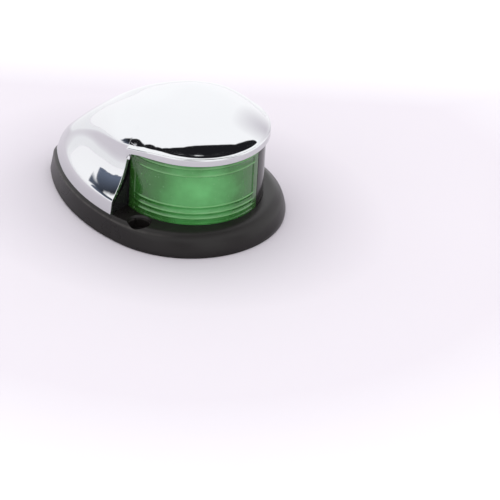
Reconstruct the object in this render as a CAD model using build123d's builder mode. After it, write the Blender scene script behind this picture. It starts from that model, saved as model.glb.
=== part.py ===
"""Starboard navigation light for a boat's deck, as an assembly of separate pieces.

Frame: millimetres, +X to the bow, +Y to port, +Z up. The origin is on the deck face, midway
between the two mounting holes. The lens looks forward and to starboard, and the lamp lies
along X with its filament on the drum's axis.
"""

from build123d import *
import math
import os

os.makedirs("parts", exist_ok=True)

# ---------------------------------------------------------------- driving dimensions

# Base: an egg-shaped outline of four tangent arcs, drafted inwards as it rises.
NOSE_X = 1.2
NOSE_R = 44.1
TAIL_X = -55.0
TAIL_R = 11.7
SIDE_R = 87.6
EDGE_Z = 8.7
EDGE_INSET = 1.6
EDGE_SHIFT = -0.4
DECK_Z = 10.2
DECK_INSET = 3.0
DECK_SHIFT = -1.0

# Drum: the lens, the blank panel and the rear wall stand on one circle.
DRUM_X = 3.2
DRUM_R = 31.6
DRUM_WALL = 2.2
DRUM_SEAT_Z = 9.6
DRUM_TOP_Z = 39.2
LENS_START = -116.0
LENS_END = 3.5
PANEL_START = 3.9
PANEL_END = 115.8
SCREEN_START = 116.3
SCREEN_IN_R = 28.4
SCREEN_OUT_R = 30.4
RIB_HEIGHT = 0.9
RIB_DEPTH = 0.5
LOWER_RIB_Z = (12.4, 14.6, 16.8)
UPPER_RIB_Z = (34.2, 36.4)

# Cover: below the brow it is cut off along a line that leans back from the drum's rear edge
CUT_IN_X = -11.1
CUT_IN_Y = 29.0
CUT_OUT_X = -13.2
CUT_OUT_Y = 39.1
BROW_Z = 39.8
CREASE_Z = 43.7
COVER_WALL = 1.5
# The cover's levels: height, nose centre, nose radius, tail tip, tail radius, side radius
RIM_LEVELS = (
    (DECK_Z, NOSE_X, 41.5, -64.1, 9.1, 85.0),
    (16.0, NOSE_X, 40.9, -62.4, 7.8, 84.3),
)
FLANK_LEVELS = (
    RIM_LEVELS[-1],
    (21.0, DRUM_X, 37.6, -59.7, 7.0, 140.0),
    (26.0, DRUM_X, 34.4, -55.2, 6.3, 400.0),
    (32.0, DRUM_X, 32.9, -48.9, 7.4, 1500.0),
    (BROW_Z, DRUM_X, 32.4, -39.5, 10.4, 1500.0),
)
BROW_LEVELS = (
    FLANK_LEVELS[-1],
    (41.6, DRUM_X, 33.2, -37.0, 11.2, 1500.0),
    (CREASE_Z, DRUM_X, 31.8, -33.9, 12.2, 1500.0),
)
DOME_LEVELS = (
    BROW_LEVELS[-1],
    (47.0, 1.0, 28.6, -28.7, 18.0, 1500.0),
    (50.3, 1.5, 21.5, -21.2, 18.8, 1500.0),
    (52.4, 1.2, 14.5, -14.8, 12.4, 1500.0),
    (53.6, 0.8, 7.0, -7.8, 5.8, 1500.0),
)
BROW_LEDGE_IN = 28.8
BROW_LEDGE_OUT = 32.0
BROW_LEDGE_H = 2.0
SCREEN_CLEARANCE = 0.4

# Screen: two fins close the cover's cut ends, each joined to the screen's wall by a post
FIN_T = 1.8
FIN_SETBACK = 0.5
FIN_OVERLAP = 1.5
FIN_LENGTH = 15.0
POST_SPAN = 5.0

# Mounting holes, one on each side of the drum
HOLE_Y = 37.1
HOLE_R = 2.4
COUNTERBORE_R = 4.7
COUNTERBORE_FLOOR_Z = 4.5

# Gaskets
PAD_INSET = 2.0
PAD_T = 1.2
DRUM_GROOVE_OUT = 31.7
DRUM_GROOVE_IN = 28.0
DRUM_GASKET_T = 0.6
RIM_GASKET_OUT = 3.0
RIM_GASKET_IN = 4.2
RIM_GASKET_T = 0.5
TOP_GASKET_OUT = 31.0
TOP_GASKET_IN = 29.2
TOP_GASKET_T = 0.5

# Cover screws, driven up from the deck face
COVER_SCREWS = ((-30.0, 19.0), (-30.0, -19.0), (-54.5, 0.0))
SCREW_R = 1.7
SCREW_HEAD_R = 2.8
SCREW_HEAD_H = 2.0
SCREW_TIP_Z = 19.0
SCREW_HEAD_CHAMFER = 0.5
SCREW_SLOT_W = 0.7
SCREW_SLOT_D = 0.8
SCREW_SLOT_L = 3.9
SCREW_HOLE_R = 1.9
SCREW_WELL_R = 3.3
SCREW_WELL_TOP_Z = 4.2
WASHER_R = 3.1
WASHER_T = 0.6
BOSS_R = 3.6
BOSS_TOP_Z = 40.0
PILOT_R = 1.8
PILOT_TOP_Z = 20.5

# Wire way: a pocket in the deck face and a grommet through its roof
POCKET_X = -43.8
POCKET_L = 11.6
POCKET_W = 18.0
POCKET_ROOF_Z = 6.5
POCKET_CORNER_R = 2.5
GROMMET_BORE_R = 2.0
GROMMET_NECK_R = 3.4
GROMMET_FLANGE_R = 4.6
GROMMET_FLANGE_T = 0.9

# Lamp and socket, on a horizontal axis at the lens's mid height
LAMP_Z = 25.0
GLOBE_R = 9.0
GLASS_T = 0.6
GLASS_NECK_R = 7.1
GLASS_END_X = -14.0
CAP_R = 7.6
CAP_T = 0.45
CAP_FRONT_X = -7.0
CAP_BACK_X = -22.8
PIN_X = -16.0
PIN_R = 1.0
PIN_ROOT_Y = 6.8
PIN_TIP_Y = 8.75
LAMP_INSULATOR_T = 2.0
CONTACT_Y = 3.5
CONTACT_R = 1.9
CONTACT_T = 1.5
LAMP_TRAVEL = 2.0

SHELL_IN_R = 7.8
SHELL_OUT_R = 8.4
SHELL_FRONT_X = -9.5
SHELL_BACK_X = -35.0
SLOT_CLEARANCE = 0.2
SLOT_TURN = 25.0
INSULATOR_FRONT_X = -30.0
INSULATOR_BACK_X = -33.0
PLUNGER_HEAD_T = 1.2
PLUNGER_R = 1.14
PLUNGER_HOLE_R = 1.2
PLUNGER_END_X = -36.6
CLIP_R = 2.3
CLIP_T = 0.6
CLIP_X = -35.6
SPRING_R = 1.55
SPRING_WIRE_R = 0.2
SPRING_TURNS = 4

BRACKET_X = -31.4
BRACKET_T = 1.2
BRACKET_HALF_W = 10.5
BRACKET_TOP_Z = 35.2
BRACKET_FOOT_L = 7.0
BRACKET_SCREW_X = -35.2
BRACKET_SCREW_Y = 6.6
BRACKET_SCREW_R = 1.4
BRACKET_SCREW_HEAD_R = 2.4
BRACKET_SCREW_HEAD_H = 1.5
BRACKET_SCREW_TIP_Z = 4.0
BRACKET_SCREW_SLOT_L = 3.6
BRACKET_SCREW_ROUND_R = 0.7
BRACKET_CORNER_R = 6.0

STEM_R = 2.4
STEM_FOOT_R = 6.4
STEM_FOOT_T = 1.0
STEM_TIP_X = -5.0
STEM_TIP_R = 1.0
FILAMENT_HALF_H = 3.0
FILAMENT_R = 0.6
FILAMENT_WIRE_R = 0.18
FILAMENT_PITCH = 0.6
SUPPORT_R = 0.25
SUPPORT_FOOT_Z = 1.3
SUPPORT_RUN = 3.5
SUPPORT_REACH = 2.0
SUPPORT_BEND_R = 0.8

# ---------------------------------------------------------------- derived dimensions

CONTACT_BACK_X = CAP_BACK_X - CONTACT_T
PLUNGER_HEAD_BACK_X = CONTACT_BACK_X - PLUNGER_HEAD_T
SPRING_L = PLUNGER_HEAD_BACK_X - INSULATOR_FRONT_X - 2 * SPRING_WIRE_R
GROMMET_LOW_Z = POCKET_ROOF_Z - GROMMET_FLANGE_T
GROMMET_TOP_Z = DECK_Z + GROMMET_FLANGE_T


# ---------------------------------------------------------------- shared shapes

def egg_section(height, nose_x, nose_r, tail_x, tail_r, side_r):
    """A level egg: a nose arc and a tail arc, joined by two tangent side arcs."""
    span = nose_x - tail_x
    to_nose = side_r - nose_r
    to_tail = side_r - tail_r
    along = (to_nose**2 - to_tail**2 + span**2) / (2 * span)
    centre_x = nose_x - along
    centre_y = -math.sqrt(to_nose**2 - along**2)
    nose_angle = math.atan2(-centre_y, nose_x - centre_x)
    tail_angle = math.atan2(-centre_y, tail_x - centre_x)
    middle = (nose_angle + tail_angle) / 2

    def on_side(angle, sign):
        return (centre_x + side_r * math.cos(angle), sign * (centre_y + side_r * math.sin(angle)))

    with BuildSketch(Plane.XY.offset(height)) as section:
        with BuildLine():
            ThreePointArc(on_side(nose_angle, -1), (nose_x + nose_r, 0), on_side(nose_angle, 1))
            ThreePointArc(on_side(nose_angle, 1), on_side(middle, 1), on_side(tail_angle, 1))
            ThreePointArc(on_side(tail_angle, 1), (tail_x - tail_r, 0), on_side(tail_angle, -1))
            ThreePointArc(on_side(tail_angle, -1), on_side(middle, -1), on_side(nose_angle, -1))
        make_face()
    return section.sketch


def base_egg(height, inset, shift=0.0):
    """The base's outline at a height, drawn in by an even inset."""
    return egg_section(height, NOSE_X + shift, NOSE_R - inset, TAIL_X + shift, TAIL_R - inset, SIDE_R - inset)


def cover_level(level, wall):
    """One level of the cover, drawn in and down by the wall."""
    height, nose_x, nose_r, tip_x, tip_r, side_r = level
    return egg_section(height - wall, nose_x, nose_r - wall, tip_x + tip_r, tip_r - wall, side_r - wall)


def cover_volume(wall):
    """The cover's outside, or its inside when it is drawn in by a wall."""
    with BuildPart() as volume:
        for levels in (RIM_LEVELS, FLANK_LEVELS, BROW_LEVELS, DOME_LEVELS):
            straight = levels in (RIM_LEVELS, BROW_LEVELS)
            loft(sections=[cover_level(level, wall) for level in levels], ruled=straight)
    return volume.part


def drum_plane(height):
    return Plane(origin=(DRUM_X, 0, height))


def ring_sector(inner_r, outer_r, start, end, low, high):
    """A wall that follows the drum's circle between two angles."""
    with BuildPart() as wall:
        with BuildSketch(drum_plane(low)):
            with BuildLine():
                outside = CenterArc((0, 0), outer_r, start, end - start)
                inside = CenterArc((0, 0), inner_r, start, end - start)
                Line(outside @ 0, inside @ 0)
                Line(outside @ 1, inside @ 1)
            make_face()
        extrude(amount=high - low)
    return wall.part


def ring(inner_r, outer_r, low, high):
    """A whole ring on the drum's axis."""
    with BuildPart() as whole:
        with BuildSketch(drum_plane(low)):
            Circle(outer_r)
            Circle(inner_r, mode=Mode.SUBTRACT)
        extrude(amount=high - low)
    return whole.part


def front_block(low, high):
    """Everything ahead of the cover's cut, on both sides, between two heights."""
    reach = 90.0
    lean = (CUT_OUT_X - CUT_IN_X) / (CUT_OUT_Y - CUT_IN_Y)
    back_x = CUT_IN_X + lean * (reach - CUT_IN_Y)
    with BuildPart() as wedge:
        with BuildSketch(Plane.XY.offset(low)):
            with BuildLine():
                Polyline(
                    (CUT_IN_X, CUT_IN_Y),
                    (CUT_IN_X, -CUT_IN_Y),
                    (back_x, -reach),
                    (reach, -reach),
                    (reach, reach),
                    (back_x, reach),
                    close=True,
                )
            make_face()
        extrude(amount=high - low)
    return wedge.part


def lamp_disc(radius, back_x, front_x, centres=((0.0, 0.0),)):
    """Round bars along X, at places measured from the lamp's axis."""
    with BuildPart() as bar:
        for across, above in centres:
            with BuildSketch(Plane(origin=(back_x, across, LAMP_Z + above), x_dir=(0, 1, 0), z_dir=(1, 0, 0))):
                Circle(radius)
            extrude(amount=front_x - back_x)
    return bar.part


def lamp_tube(inner_r, outer_r, back_x, front_x, across=0.0):
    """A tube along X, on the lamp's axis or beside it."""
    with BuildPart() as tube:
        with BuildSketch(Plane(origin=(back_x, across, LAMP_Z), x_dir=(0, 1, 0), z_dir=(1, 0, 0))):
            Circle(outer_r)
            Circle(inner_r, mode=Mode.SUBTRACT)
        extrude(amount=front_x - back_x)
    return tube.part


def slot_cutter(start, end, back_x, front_x):
    """A piece of the socket shell's wall, between two angles about the lamp's axis."""
    with BuildPart() as cutter:
        with BuildSketch(Plane(origin=(back_x, 0, LAMP_Z), x_dir=(0, 1, 0), z_dir=(1, 0, 0))):
            with BuildLine():
                outside = CenterArc((0, 0), SHELL_OUT_R + 1, start, end - start)
                inside = CenterArc((0, 0), SHELL_IN_R - 1, start, end - start)
                Line(outside @ 0, inside @ 0)
                Line(outside @ 1, inside @ 1)
            make_face()
        extrude(amount=front_x - back_x)
    return cutter.part


def upright(radius, low, high, places):
    """Round bars along Z, at places on the deck."""
    with BuildPart() as bars:
        for x, y in places:
            with BuildSketch(Plane(origin=(x, y, low))):
                Circle(radius)
            extrude(amount=high - low)
    return bars.part


def pocket_block(low, high, growth=0.0):
    """The wire pocket's rounded block."""
    with BuildPart() as block:
        with BuildSketch(Plane(origin=(POCKET_X, 0, low))):
            RectangleRounded(POCKET_L + growth, POCKET_W + growth, POCKET_CORNER_R)
        extrude(amount=high - low)
    return block.part


def save(part, name):
    part.label = name
    export_step(part, "parts/" + name + ".step")


# ---------------------------------------------------------------- base and gaskets

MOUNTING_HOLES = ((0.0, HOLE_Y), (0.0, -HOLE_Y))
BRACKET_SCREWS = ((BRACKET_SCREW_X, BRACKET_SCREW_Y), (BRACKET_SCREW_X, -BRACKET_SCREW_Y))

with BuildPart() as rim_gasket_band:
    extrude(base_egg(DECK_Z - RIM_GASKET_T, RIM_GASKET_OUT), amount=RIM_GASKET_T)
    extrude(base_egg(DECK_Z - RIM_GASKET_T, RIM_GASKET_IN), amount=RIM_GASKET_T, mode=Mode.SUBTRACT)
    add(front_block(0, DECK_Z + 1), mode=Mode.SUBTRACT)
save(rim_gasket_band.part, "cover_gasket")

with BuildPart() as base:
    loft(
        sections=[
            base_egg(0, 0),
            base_egg(EDGE_Z, EDGE_INSET, EDGE_SHIFT),
            base_egg(DECK_Z, DECK_INSET, DECK_SHIFT),
        ],
        ruled=True,
    )
    extrude(base_egg(0, PAD_INSET), amount=PAD_T, mode=Mode.SUBTRACT)
    add(ring(DRUM_GROOVE_IN, DRUM_GROOVE_OUT, DRUM_SEAT_Z - DRUM_GASKET_T, DECK_Z + 1), mode=Mode.SUBTRACT)
    add(rim_gasket_band.part, mode=Mode.SUBTRACT)
    add(pocket_block(0, POCKET_ROOF_Z), mode=Mode.SUBTRACT)
    with Locations((POCKET_X, 0, DECK_Z)):
        Hole(GROMMET_NECK_R)
    with Locations(*[(x, y, DECK_Z) for x, y in MOUNTING_HOLES]):
        CounterBoreHole(HOLE_R, COUNTERBORE_R, DECK_Z - COUNTERBORE_FLOOR_Z)
    add(upright(SCREW_HOLE_R, 0, DECK_Z + 1, COVER_SCREWS), mode=Mode.SUBTRACT)
    add(upright(SCREW_WELL_R, 0, SCREW_WELL_TOP_Z, COVER_SCREWS), mode=Mode.SUBTRACT)
    add(upright(BRACKET_SCREW_R, BRACKET_SCREW_TIP_Z, DECK_Z + 1, BRACKET_SCREWS), mode=Mode.SUBTRACT)
save(base.part, "base")

with BuildPart() as deck_gasket:
    extrude(base_egg(0, PAD_INSET), amount=PAD_T)
    add(pocket_block(0, PAD_T), mode=Mode.SUBTRACT)
    add(upright(HOLE_R, 0, PAD_T, MOUNTING_HOLES), mode=Mode.SUBTRACT)
    add(upright(SCREW_WELL_R, 0, PAD_T, COVER_SCREWS), mode=Mode.SUBTRACT)
save(deck_gasket.part, "deck_gasket")

with BuildPart() as drum_gasket:
    add(ring(DRUM_GROOVE_IN, DRUM_GROOVE_OUT, DRUM_SEAT_Z - DRUM_GASKET_T, DRUM_SEAT_Z))
save(drum_gasket.part, "drum_gasket")

with BuildPart() as wire_grommet:
    with BuildSketch(Plane(origin=(POCKET_X, 0, GROMMET_LOW_Z))):
        Circle(GROMMET_NECK_R)
    extrude(amount=GROMMET_TOP_Z - GROMMET_LOW_Z)
    with BuildSketch(Plane(origin=(POCKET_X, 0, GROMMET_LOW_Z)), Plane(origin=(POCKET_X, 0, DECK_Z))):
        Circle(GROMMET_FLANGE_R)
    extrude(amount=GROMMET_FLANGE_T)
    with Locations((POCKET_X, 0, GROMMET_TOP_Z)):
        Hole(GROMMET_BORE_R)
save(wire_grommet.part, "wire_grommet")

# ---------------------------------------------------------------- drum

with BuildPart() as lens:
    add(ring_sector(DRUM_R - DRUM_WALL, DRUM_R, LENS_START, LENS_END, DRUM_SEAT_Z, DRUM_TOP_Z))
    for rib_z in LOWER_RIB_Z + UPPER_RIB_Z:
        inner = DRUM_R - DRUM_WALL - RIB_DEPTH
        add(ring_sector(inner, DRUM_R - DRUM_WALL, LENS_START, LENS_END, rib_z, rib_z + RIB_HEIGHT))
save(lens.part, "lens")

with BuildPart() as blank_panel:
    add(ring_sector(DRUM_R - DRUM_WALL, DRUM_R, PANEL_START, PANEL_END, DRUM_SEAT_Z, DRUM_TOP_Z))
save(blank_panel.part, "blank_panel")

cover_outside = cover_volume(0)
cover_inside = cover_volume(COVER_WALL)

with BuildPart() as fins:
    for sign in (1, -1):
        start = (CUT_IN_X, sign * CUT_IN_Y, DECK_Z)
        outward = (CUT_OUT_X - CUT_IN_X, sign * (CUT_OUT_Y - CUT_IN_Y), 0)
        with BuildSketch(Plane(origin=start, x_dir=outward)):
            with Locations((FIN_LENGTH / 2 - FIN_OVERLAP, sign * (FIN_SETBACK + FIN_T / 2))):
                Rectangle(FIN_LENGTH, FIN_T)
        extrude(amount=DRUM_TOP_Z - DECK_Z)
    for post_start in (SCREEN_START, 360 - SCREEN_START - POST_SPAN):
        add(ring_sector(SCREEN_IN_R, DRUM_R, post_start, post_start + POST_SPAN, DECK_Z, DRUM_TOP_Z))
    add(cover_volume(COVER_WALL + SCREEN_CLEARANCE), mode=Mode.INTERSECT)

with BuildPart() as light_screen:
    add(ring_sector(SCREEN_IN_R, SCREEN_OUT_R, SCREEN_START, 360 - SCREEN_START, DRUM_SEAT_Z, DRUM_TOP_Z))
    add(fins.part)
    add(lamp_disc(SHELL_OUT_R, SHELL_BACK_X, SHELL_FRONT_X), mode=Mode.SUBTRACT)
save(light_screen.part, "light_screen")

# ---------------------------------------------------------------- cover

with BuildPart() as bosses:
    add(upright(BOSS_R, DECK_Z, BOSS_TOP_Z, COVER_SCREWS))
    add(cover_outside, mode=Mode.INTERSECT)

with BuildPart() as cover:
    add(cover_outside)
    add(cover_inside, mode=Mode.SUBTRACT)
    add(ring(BROW_LEDGE_IN, BROW_LEDGE_OUT, BROW_Z, BROW_Z + BROW_LEDGE_H))
    add(bosses.part)
    add(upright(PILOT_R, 0, PILOT_TOP_Z, COVER_SCREWS), mode=Mode.SUBTRACT)
    add(front_block(0, BROW_Z), mode=Mode.SUBTRACT)
save(cover.part, "cover")

with BuildPart() as lens_top_gasket:
    add(ring(TOP_GASKET_IN, TOP_GASKET_OUT, BROW_Z - TOP_GASKET_T, BROW_Z))
save(lens_top_gasket.part, "lens_top_gasket")

with BuildPart() as cover_screw_washers:
    add(upright(WASHER_R, SCREW_WELL_TOP_Z - WASHER_T, SCREW_WELL_TOP_Z, COVER_SCREWS))
    add(upright(SCREW_R, 0, SCREW_WELL_TOP_Z, COVER_SCREWS), mode=Mode.SUBTRACT)
save(cover_screw_washers.part, "cover_screw_washers")

with BuildPart() as cover_screws:
    head_top = SCREW_WELL_TOP_Z - WASHER_T
    head_low = head_top - SCREW_HEAD_H
    add(upright(SCREW_HEAD_R, head_low, head_top, COVER_SCREWS))
    chamfer(cover_screws.edges().group_by(Axis.Z)[0], SCREW_HEAD_CHAMFER)
    add(upright(SCREW_R, head_top, SCREW_TIP_Z, COVER_SCREWS))
    for x, y in COVER_SCREWS:
        with BuildSketch(Plane(origin=(x, y, head_low))):
            Rectangle(SCREW_SLOT_W, SCREW_SLOT_L)
            Rectangle(SCREW_SLOT_L, SCREW_SLOT_W)
        extrude(amount=SCREW_SLOT_D, mode=Mode.SUBTRACT)
save(cover_screws.part, "cover_screws")

# ---------------------------------------------------------------- socket

PIN_HALF_ANGLE = math.degrees((PIN_R + SLOT_CLEARANCE) / SHELL_IN_R)
SLOT_BACK_X = PIN_X - LAMP_TRAVEL - PIN_R - SLOT_CLEARANCE
SLOT_TURN_X = SLOT_BACK_X + 2 * (PIN_R + SLOT_CLEARANCE)
SLOT_LOCK_X = PIN_X + PIN_R + SLOT_CLEARANCE

with BuildPart() as socket_shell:
    add(lamp_tube(SHELL_IN_R, SHELL_OUT_R, SHELL_BACK_X, SHELL_FRONT_X))
    for side in (0, 180):
        turned = side + SLOT_TURN
        locked_start = side - PIN_HALF_ANGLE
        turned_end = turned + PIN_HALF_ANGLE
        mouth = slot_cutter(turned - PIN_HALF_ANGLE, turned_end, SLOT_BACK_X, SHELL_FRONT_X + 1)
        add(mouth, mode=Mode.SUBTRACT)
        add(slot_cutter(locked_start, turned_end, SLOT_BACK_X, SLOT_TURN_X), mode=Mode.SUBTRACT)
        add(slot_cutter(locked_start, side + PIN_HALF_ANGLE, SLOT_BACK_X, SLOT_LOCK_X), mode=Mode.SUBTRACT)
save(socket_shell.part, "socket_shell")

with BuildPart() as socket_bracket:
    plate_height = BRACKET_TOP_Z - DECK_Z
    with BuildSketch(Plane(origin=(BRACKET_X, 0, DECK_Z + plate_height / 2), x_dir=(0, 1, 0), z_dir=(1, 0, 0))):
        Rectangle(2 * BRACKET_HALF_W, plate_height)
    extrude(amount=BRACKET_T)
    fillet(socket_bracket.edges().filter_by(Axis.X).group_by(Axis.Z)[-1], BRACKET_CORNER_R)
    with BuildSketch(Plane(origin=(BRACKET_X - BRACKET_FOOT_L / 2, 0, DECK_Z))):
        Rectangle(BRACKET_FOOT_L, 2 * BRACKET_HALF_W)
    extrude(amount=BRACKET_T)
    add(lamp_disc(SHELL_OUT_R, BRACKET_X - 1, BRACKET_X + BRACKET_T + 1), mode=Mode.SUBTRACT)
    add(upright(BRACKET_SCREW_R, DECK_Z, DECK_Z + BRACKET_T, BRACKET_SCREWS), mode=Mode.SUBTRACT)
save(socket_bracket.part, "socket_bracket")

with BuildPart() as bracket_screws:
    foot_top = DECK_Z + BRACKET_T
    add(upright(BRACKET_SCREW_R, BRACKET_SCREW_TIP_Z, foot_top, BRACKET_SCREWS))
    add(upright(BRACKET_SCREW_HEAD_R, foot_top, foot_top + BRACKET_SCREW_HEAD_H, BRACKET_SCREWS))
    fillet(bracket_screws.edges().group_by(Axis.Z)[-1], BRACKET_SCREW_ROUND_R)
    for x, y in BRACKET_SCREWS:
        with BuildSketch(Plane(origin=(x, y, foot_top + BRACKET_SCREW_HEAD_H))):
            Rectangle(BRACKET_SCREW_SLOT_L, SCREW_SLOT_W)
            Rectangle(SCREW_SLOT_W, BRACKET_SCREW_SLOT_L)
        extrude(amount=-SCREW_SLOT_D, mode=Mode.SUBTRACT)
save(bracket_screws.part, "bracket_screws")

CONTACTS = ((CONTACT_Y, 0.0), (-CONTACT_Y, 0.0))

with BuildPart() as contact_insulator:
    add(lamp_disc(SHELL_IN_R, INSULATOR_BACK_X, INSULATOR_FRONT_X))
    add(lamp_disc(PLUNGER_HOLE_R, INSULATOR_BACK_X, INSULATOR_FRONT_X, CONTACTS), mode=Mode.SUBTRACT)
save(contact_insulator.part, "contact_insulator")

with BuildPart() as contact_plungers:
    add(lamp_disc(CONTACT_R, PLUNGER_HEAD_BACK_X, CONTACT_BACK_X, CONTACTS))
    add(lamp_disc(PLUNGER_R, PLUNGER_END_X, PLUNGER_HEAD_BACK_X, CONTACTS))
save(contact_plungers.part, "contact_plungers")

with BuildPart() as plunger_clips:
    add(lamp_disc(CLIP_R, CLIP_X, CLIP_X + CLIP_T, CONTACTS))
    add(lamp_disc(PLUNGER_R, CLIP_X, CLIP_X + CLIP_T, CONTACTS), mode=Mode.SUBTRACT)
save(plunger_clips.part, "plunger_clips")

with BuildPart() as contact_springs:
    for across, above in CONTACTS:
        start_x = INSULATOR_FRONT_X + SPRING_WIRE_R
        coil = Helix(
            pitch=SPRING_L / SPRING_TURNS,
            height=SPRING_L,
            radius=SPRING_R,
            center=(start_x, across, LAMP_Z + above),
            direction=(1, 0, 0),
            mode=Mode.PRIVATE,
        )
        with BuildSketch(Plane(origin=coil @ 0, z_dir=coil % 0)):
            Circle(SPRING_WIRE_R)
        sweep(path=coil, is_frenet=True)
save(contact_springs.part, "contact_springs")

# ---------------------------------------------------------------- lamp

with BuildPart() as pins:
    for sign in (1, -1):
        with BuildSketch(Plane(origin=(PIN_X, sign * PIN_ROOT_Y, LAMP_Z), z_dir=(0, sign, 0))):
            Circle(PIN_R)
        extrude(amount=PIN_TIP_Y - PIN_ROOT_Y)
save(pins.part, "bulb_pins")

with BuildPart() as bulb_cap:
    add(lamp_tube(CAP_R - CAP_T, CAP_R, CAP_BACK_X, CAP_FRONT_X))
    with BuildSketch(Plane(origin=(PIN_X, 0, LAMP_Z), z_dir=(0, 1, 0))):
        Circle(PIN_R)
    extrude(amount=PIN_TIP_Y, both=True, mode=Mode.SUBTRACT)
save(bulb_cap.part, "bulb_cap")

with BuildPart() as bulb_insulator:
    add(lamp_disc(CAP_R - CAP_T, CAP_BACK_X, CAP_BACK_X + LAMP_INSULATOR_T))
save(bulb_insulator.part, "bulb_insulator")

with BuildPart() as bulb_contacts:
    add(lamp_disc(CONTACT_R, CONTACT_BACK_X, CAP_BACK_X, CONTACTS))
save(bulb_contacts.part, "bulb_contacts")

with BuildPart() as bulb_glass:
    with BuildSketch(Plane(origin=(DRUM_X, 0, LAMP_Z), x_dir=(1, 0, 0), z_dir=(0, -1, 0))):
        Circle(GLOBE_R)
        with Locations(((GLASS_END_X - DRUM_X) / 2, 0)):
            Rectangle(DRUM_X - GLASS_END_X, 2 * GLASS_NECK_R)
        Circle(GLOBE_R - GLASS_T, mode=Mode.SUBTRACT)
        with Locations(((GLASS_END_X - DRUM_X) / 2, 0)):
            Rectangle(DRUM_X - GLASS_END_X, 2 * (GLASS_NECK_R - GLASS_T), mode=Mode.SUBTRACT)
        with Locations((0, -GLOBE_R)):
            Rectangle(4 * GLOBE_R, 2 * GLOBE_R, mode=Mode.SUBTRACT)
    revolve(axis=Axis((DRUM_X, 0, LAMP_Z), (1, 0, 0)))
save(bulb_glass.part, "bulb_glass")

with BuildPart() as bulb_stem:
    add(lamp_disc(STEM_FOOT_R, GLASS_END_X, GLASS_END_X + STEM_FOOT_T))
    add(lamp_disc(STEM_R, GLASS_END_X + STEM_FOOT_T, STEM_TIP_X))
    fillet(bulb_stem.edges().group_by(Axis.X)[-1], STEM_TIP_R)
save(bulb_stem.part, "bulb_stem")

with BuildPart() as filament_supports:
    for sign in (1, -1):
        foot = (STEM_TIP_X, 0, LAMP_Z + sign * SUPPORT_FOOT_Z)
        elbow = (STEM_TIP_X + SUPPORT_RUN, 0, LAMP_Z + sign * SUPPORT_FOOT_Z)
        shoulder = (DRUM_X - SUPPORT_REACH, 0, LAMP_Z + sign * FILAMENT_HALF_H)
        tip = (DRUM_X - FILAMENT_R - FILAMENT_WIRE_R, 0, LAMP_Z + sign * FILAMENT_HALF_H)
        with BuildLine() as lead:
            FilletPolyline(foot, elbow, shoulder, tip, radius=SUPPORT_BEND_R)
        with BuildSketch(Plane(origin=foot, z_dir=(1, 0, 0))):
            Circle(SUPPORT_R)
        sweep(path=lead.wire())
save(filament_supports.part, "filament_supports")

with BuildPart() as bulb_filament:
    coil = Helix(
        pitch=FILAMENT_PITCH,
        height=2 * FILAMENT_HALF_H,
        radius=FILAMENT_R,
        center=(DRUM_X, 0, LAMP_Z - FILAMENT_HALF_H),
        direction=(0, 0, 1),
        mode=Mode.PRIVATE,
    )
    with BuildSketch(Plane(origin=coil @ 0, z_dir=coil % 0)):
        Circle(FILAMENT_WIRE_R)
    sweep(path=coil, is_frenet=True)
save(bulb_filament.part, "bulb_filament")
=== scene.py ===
"""Looks of the starboard navigation light: smooth shells, moulded lens, materials, studio and camera.

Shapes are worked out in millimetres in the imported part's frame and become metres as each mesh is made.
Distances inside the shaders are in metres.
"""

import math

import bmesh
import bpy
import numpy as np
from mathutils import Matrix, Vector


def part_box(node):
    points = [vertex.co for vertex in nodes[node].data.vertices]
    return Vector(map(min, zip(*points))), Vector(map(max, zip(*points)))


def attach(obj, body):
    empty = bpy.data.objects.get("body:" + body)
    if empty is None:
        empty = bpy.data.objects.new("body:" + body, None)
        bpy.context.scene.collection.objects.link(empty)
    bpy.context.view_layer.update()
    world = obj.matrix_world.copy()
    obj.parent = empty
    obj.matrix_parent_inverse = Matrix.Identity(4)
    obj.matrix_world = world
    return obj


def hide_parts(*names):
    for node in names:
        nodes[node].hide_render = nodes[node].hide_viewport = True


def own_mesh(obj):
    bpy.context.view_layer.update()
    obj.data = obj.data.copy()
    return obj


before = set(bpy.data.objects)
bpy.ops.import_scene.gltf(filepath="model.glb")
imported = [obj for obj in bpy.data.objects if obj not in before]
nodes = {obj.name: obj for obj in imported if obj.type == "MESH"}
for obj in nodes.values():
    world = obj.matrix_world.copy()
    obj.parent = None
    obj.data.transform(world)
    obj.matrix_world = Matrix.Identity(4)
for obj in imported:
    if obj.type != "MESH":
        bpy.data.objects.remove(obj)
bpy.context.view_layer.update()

MM = 0.001


def span(node, axis):
    """Lowest and highest coordinate of a CAD node along an axis, in millimetres."""
    low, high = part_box(node)
    return low[axis] / MM, high[axis] / MM


# ------------------------ places taken from the frame

LENS_LOW, LENS_TOP = span("lens", 2)
NOSE_TIP = span("base", 0)[1]
TAIL_TIP = span("base", 0)[0]
DECK_Z = span("base", 2)[1]
APEX_Z = span("cover", 2)[1]
DRUM_X = sum(span("drum_gasket", 0)) / 2
DRUM_R = -span("lens", 1)[0]

# ------------------------ driving dimensions

NOSE_X = 1.2
NOSE_R = NOSE_TIP - NOSE_X
TAIL_R = 11.7
TAIL_X = TAIL_TIP + TAIL_R
SIDE_R = 87.6
DRUM_WALL = 2.2
BROW_Z = 39.8
CREASE_Z = 43.7
NOSE_BULGE = 0.4
BAND_ROUND = 0.26
BROW_DROP = 3.0
BROW_DROP_RUN = 17.0
WALL_LEAN = 0.04
FLANK_HANDLE = 0.72
WALL_HANDLE = 0.72
COVER_WALL = 1.5
CUT_IN_X, CUT_IN_Y = -11.1, 29.0
CUT_LEAN = -2.1 / 10.1


# ------------------------ mesh helpers

MERGE_WITHIN = 1e-7
BEVEL_SEGMENTS = 3
BEVEL_FROM = math.radians(50)
HOLE_SIDES = 96


def new_object(name, data):
    made = bpy.data.objects.new(name, data)
    bpy.context.scene.collection.objects.link(made)
    return made


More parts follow.
